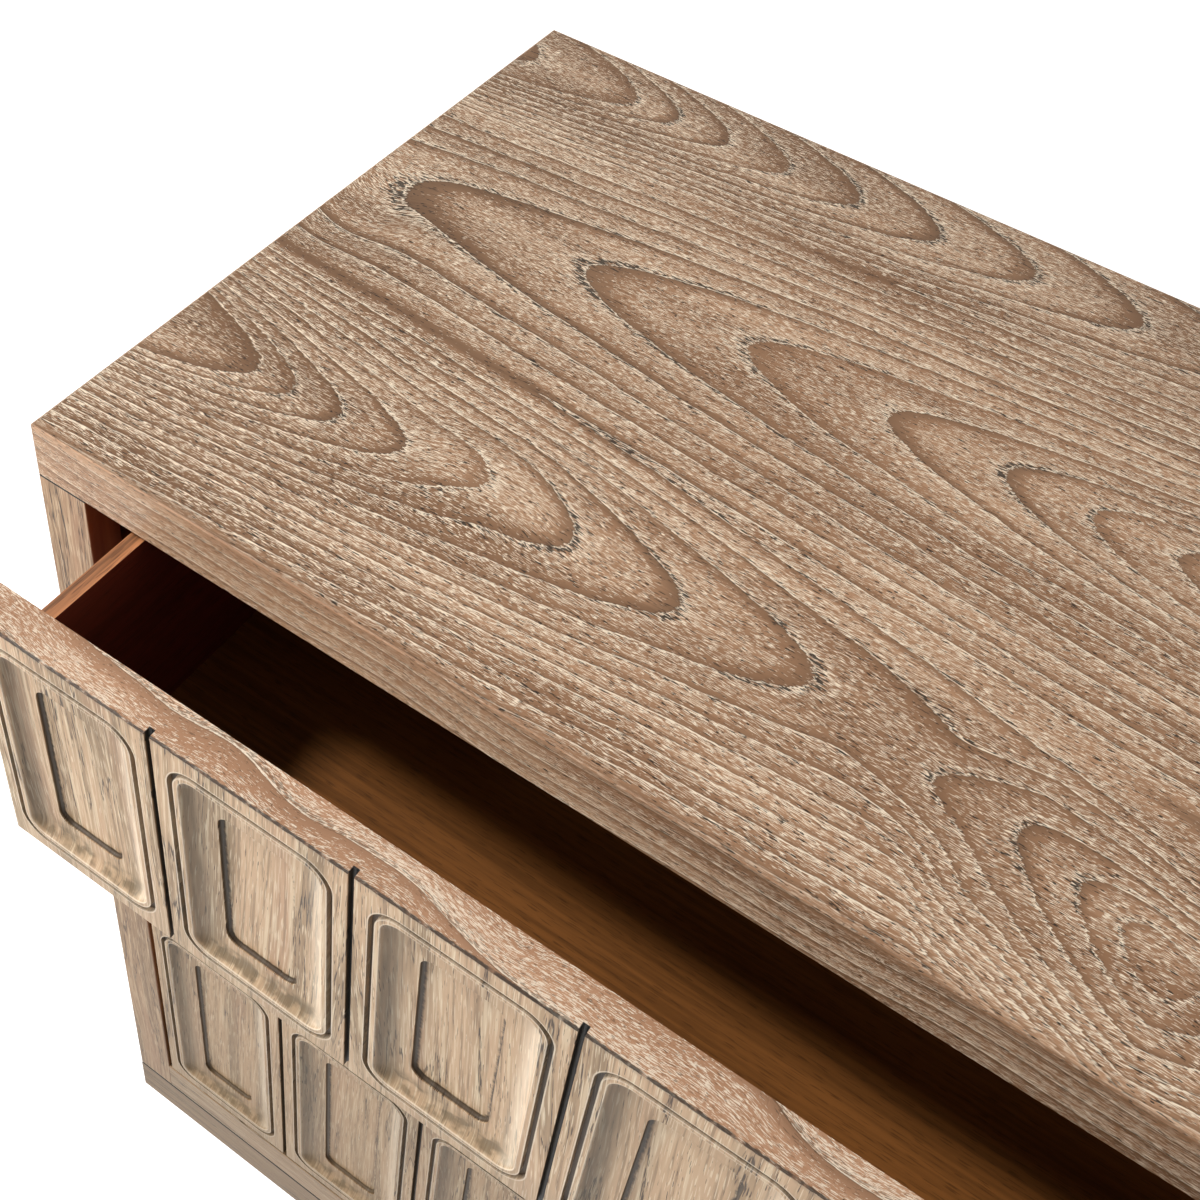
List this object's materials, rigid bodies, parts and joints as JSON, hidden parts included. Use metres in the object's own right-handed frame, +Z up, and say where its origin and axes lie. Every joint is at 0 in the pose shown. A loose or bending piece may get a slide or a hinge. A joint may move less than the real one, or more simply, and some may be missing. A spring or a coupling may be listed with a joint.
{
  "type": "chest of drawers",
  "caption": "Low wooden chest with graduated inset drawers whose fronts are carved into rows of tall coved blocks, on a flush plinth; the top drawer stands partly open.",
  "frame": {"origin": "on the floor, under the middle of the whole chest as it stands, with its top drawer partly open", "axes": "+X to the right as seen from the front, along the width; -Y out of the drawer fronts; +Z up"},
  "size_m": [0.9142, 0.5898, 0.8134],
  "materials": {
    "case_wood": "cerused and waxed veneer",
    "front_wood": "cerused and glazed, carved",
    "drawer_wood": "stained and lacquered",
    "inner_wood": "stained",
    "back_board": "stained plywood",
    "steel": "zinc plated"
  },
  "bodies": {
    "case": {"back_panel": "back_board", "back_panel_screws": "steel", "back_top_cleat": "inner_wood", "bottom_left_case_member": "steel", "bottom_left_runner": "inner_wood", "bottom_rail": "case_wood", "bottom_right_case_member": "steel", "bottom_right_runner": "inner_wood", "case_floor": "inner_wood", "left_side_panel": "case_wood", "left_stile": "case_wood", "left_top_cleat": "inner_wood", "lower_divider_rail": "inner_wood", "middle_left_case_member": "steel", "middle_left_runner": "inner_wood", "middle_right_case_member": "steel", "middle_right_runner": "inner_wood", "plinth_back": "case_wood", "plinth_front": "case_wood", "plinth_glue_blocks": "inner_wood", "plinth_left": "case_wood", "plinth_right": "case_wood", "right_side_panel": "case_wood", "right_stile": "case_wood", "right_top_cleat": "inner_wood", "top_left_case_member": "steel", "top_left_runner": "inner_wood", "top_panel": "case_wood", "top_right_case_member": "steel", "top_right_runner": "inner_wood", "upper_divider_rail": "inner_wood"},
    "top_drawer": {"top_drawer_back": "drawer_wood", "top_drawer_bottom": "drawer_wood", "top_drawer_front": "front_wood", "top_drawer_left_side": "drawer_wood", "top_drawer_right_side": "drawer_wood", "top_left_drawer_member": "steel", "top_right_drawer_member": "steel"},
    "middle_drawer": {"middle_drawer_back": "drawer_wood", "middle_drawer_bottom": "drawer_wood", "middle_drawer_front": "front_wood", "middle_drawer_left_side": "drawer_wood", "middle_drawer_right_side": "drawer_wood", "middle_left_drawer_member": "steel", "middle_right_drawer_member": "steel"},
    "bottom_drawer": {"bottom_drawer_back": "drawer_wood", "bottom_drawer_bottom": "drawer_wood", "bottom_drawer_front": "front_wood", "bottom_drawer_left_side": "drawer_wood", "bottom_drawer_right_side": "drawer_wood", "bottom_left_drawer_member": "steel", "bottom_right_drawer_member": "steel"},
    "bottom_left_middle": {"bottom_left_middle_member": "steel"},
    "bottom_right_middle": {"bottom_right_middle_member": "steel"},
    "middle_left_middle": {"middle_left_middle_member": "steel"},
    "middle_right_middle": {"middle_right_middle_member": "steel"},
    "top_left_middle": {"top_left_middle_member": "steel"},
    "top_right_middle": {"top_right_middle_member": "steel"}
  },
  "joints": [
    {"name": "top_drawer_slide", "type": "slide", "parent": "case", "child": "top_drawer", "axis": [0, -1, 0], "range_m": [-0.0848, 0.2952]},
    {"name": "top_left_middle_slide", "type": "slide", "parent": "case", "child": "top_left_middle", "axis": [0, -1, 0], "range_m": [-0.0424, 0.1476]},
    {"name": "top_right_middle_slide", "type": "slide", "parent": "case", "child": "top_right_middle", "axis": [0, -1, 0], "range_m": [-0.0424, 0.1476]},
    {"name": "middle_drawer_slide", "type": "slide", "parent": "case", "child": "middle_drawer", "axis": [0, -1, 0], "range_m": [0, 0.38]},
    {"name": "middle_left_middle_slide", "type": "slide", "parent": "case", "child": "middle_left_middle", "axis": [0, -1, 0], "range_m": [0, 0.19]},
    {"name": "middle_right_middle_slide", "type": "slide", "parent": "case", "child": "middle_right_middle", "axis": [0, -1, 0], "range_m": [0, 0.19]},
    {"name": "bottom_drawer_slide", "type": "slide", "parent": "case", "child": "bottom_drawer", "axis": [0, -1, 0], "range_m": [0, 0.38]},
    {"name": "bottom_left_middle_slide", "type": "slide", "parent": "case", "child": "bottom_left_middle", "axis": [0, -1, 0], "range_m": [0, 0.19]},
    {"name": "bottom_right_middle_slide", "type": "slide", "parent": "case", "child": "bottom_right_middle", "axis": [0, -1, 0], "range_m": [0, 0.19]}
  ],
  "couplings": [
    {"joint": "top_left_middle_slide", "follows": "top_drawer_slide", "ratio": 0.5},
    {"joint": "top_right_middle_slide", "follows": "top_drawer_slide", "ratio": 0.5},
    {"joint": "middle_left_middle_slide", "follows": "middle_drawer_slide", "ratio": 0.5},
    {"joint": "middle_right_middle_slide", "follows": "middle_drawer_slide", "ratio": 0.5},
    {"joint": "bottom_left_middle_slide", "follows": "bottom_drawer_slide", "ratio": 0.5},
    {"joint": "bottom_right_middle_slide", "follows": "bottom_drawer_slide", "ratio": 0.5}
  ]
}
